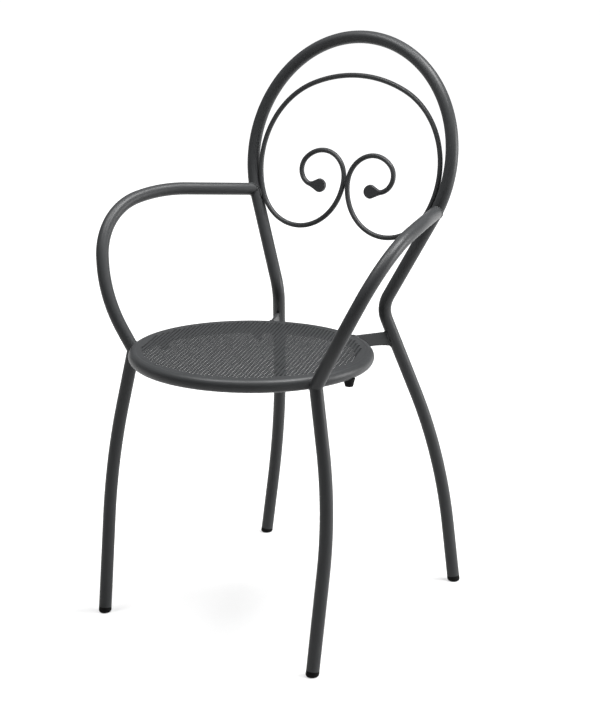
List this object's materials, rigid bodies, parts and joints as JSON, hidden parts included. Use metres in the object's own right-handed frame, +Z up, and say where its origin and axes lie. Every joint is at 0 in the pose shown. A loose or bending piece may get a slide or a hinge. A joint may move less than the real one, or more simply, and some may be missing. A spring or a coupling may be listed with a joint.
{
  "type": "stacking garden chair",
  "caption": "Stacking garden armchair of bent steel tube with a round perforated seat, a balloon hoop back with mirrored scrolls, bowed legs, plastic feet and stacking bumpers.",
  "frame": {"origin": "on the floor, under the middle of the chair's plan", "axes": "+Z up, +Y to the rear, +X to the sitter's left"},
  "size_m": [0.5606, 0.5329, 0.9181],
  "materials": {
    "frame_paint": "satin anthracite powder coat",
    "foot_plastic": "moulded black plastic",
    "bumper_rubber": "moulded black rubber"
  },
  "bodies": {
    "root": {"back_frame": "frame_paint", "arm_left": "frame_paint", "arm_right": "frame_paint", "front_leg_left": "frame_paint", "front_leg_right": "frame_paint", "seat_ring": "frame_paint", "seat_sheet": "frame_paint", "seat_bracket_left": "frame_paint", "seat_bracket_right": "frame_paint", "back_scroll": "frame_paint", "scroll_tip_left": "frame_paint", "scroll_tip_right": "frame_paint", "foot_front_left": "foot_plastic", "foot_front_right": "foot_plastic", "foot_rear_left": "foot_plastic", "foot_rear_right": "foot_plastic", "bumper_side_left": "bumper_rubber", "bumper_side_right": "bumper_rubber", "bumper_rear_left": "bumper_rubber", "bumper_rear_right": "bumper_rubber"}
  },
  "joints": []
}
